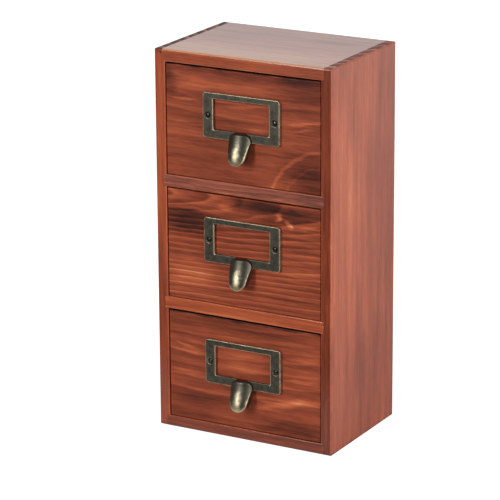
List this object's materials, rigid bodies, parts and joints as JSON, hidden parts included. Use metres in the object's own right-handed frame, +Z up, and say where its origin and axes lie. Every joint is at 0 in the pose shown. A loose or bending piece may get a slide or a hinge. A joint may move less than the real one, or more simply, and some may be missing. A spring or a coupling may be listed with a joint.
{
  "type": "desktop drawer organizer",
  "caption": "Tall small desk cabinet of stained pine with stacked sliding drawers, each with an antique brass label frame and a finger pull.",
  "frame": {"origin": "middle of the case's base, midway across its width and its depth without the pulls", "axes": "+Z up, -Y out of the drawer fronts, +X to the right as seen from the front"},
  "size_m": [0.135, 0.1062, 0.27],
  "materials": {
    "stained_pine_case": "red-brown stain under satin lacquer",
    "stained_pine_drawer_front": "red-brown stain on scorched grain under satin lacquer",
    "stained_pine_drawer_box": "thin red-brown stain, matt",
    "stained_plywood": "thin red-brown stain, matt",
    "antique_brass": "darkened brass plate, rubbed bright on the edges",
    "blackened_steel_pin": "blackened, semi-matt",
    "steel_brad": "bright drawn wire"
  },
  "bodies": {
    "case": {"left_side_panel": "stained_pine_case", "right_side_panel": "stained_pine_case", "top_panel": "stained_pine_case", "bottom_panel": "stained_pine_case", "upper_divider": "stained_pine_case", "lower_divider": "stained_pine_case", "back_panel": "stained_plywood", "back_panel_brads": "steel_brad"},
    "drawer_1": {"drawer_1_front": "stained_pine_drawer_front", "drawer_1_left_side": "stained_pine_drawer_box", "drawer_1_right_side": "stained_pine_drawer_box", "drawer_1_back": "stained_pine_drawer_box", "drawer_1_bottom": "stained_plywood", "drawer_1_brads": "steel_brad", "drawer_1_label_frame": "antique_brass", "drawer_1_frame_pins": "blackened_steel_pin", "drawer_1_finger_pull": "antique_brass"},
    "drawer_2": {"drawer_2_front": "stained_pine_drawer_front", "drawer_2_left_side": "stained_pine_drawer_box", "drawer_2_right_side": "stained_pine_drawer_box", "drawer_2_back": "stained_pine_drawer_box", "drawer_2_bottom": "stained_plywood", "drawer_2_brads": "steel_brad", "drawer_2_label_frame": "antique_brass", "drawer_2_frame_pins": "blackened_steel_pin", "drawer_2_finger_pull": "antique_brass"},
    "drawer_3": {"drawer_3_front": "stained_pine_drawer_front", "drawer_3_left_side": "stained_pine_drawer_box", "drawer_3_right_side": "stained_pine_drawer_box", "drawer_3_back": "stained_pine_drawer_box", "drawer_3_bottom": "stained_plywood", "drawer_3_brads": "steel_brad", "drawer_3_label_frame": "antique_brass", "drawer_3_frame_pins": "blackened_steel_pin", "drawer_3_finger_pull": "antique_brass"}
  },
  "joints": [
    {"name": "drawer_1_slide", "type": "slide", "parent": "case", "child": "drawer_1", "axis": [0, -1, 0], "range_m": [0, 0.075]},
    {"name": "drawer_2_slide", "type": "slide", "parent": "case", "child": "drawer_2", "axis": [0, -1, 0], "range_m": [0, 0.075]},
    {"name": "drawer_3_slide", "type": "slide", "parent": "case", "child": "drawer_3", "axis": [0, -1, 0], "range_m": [0, 0.075]}
  ]
}
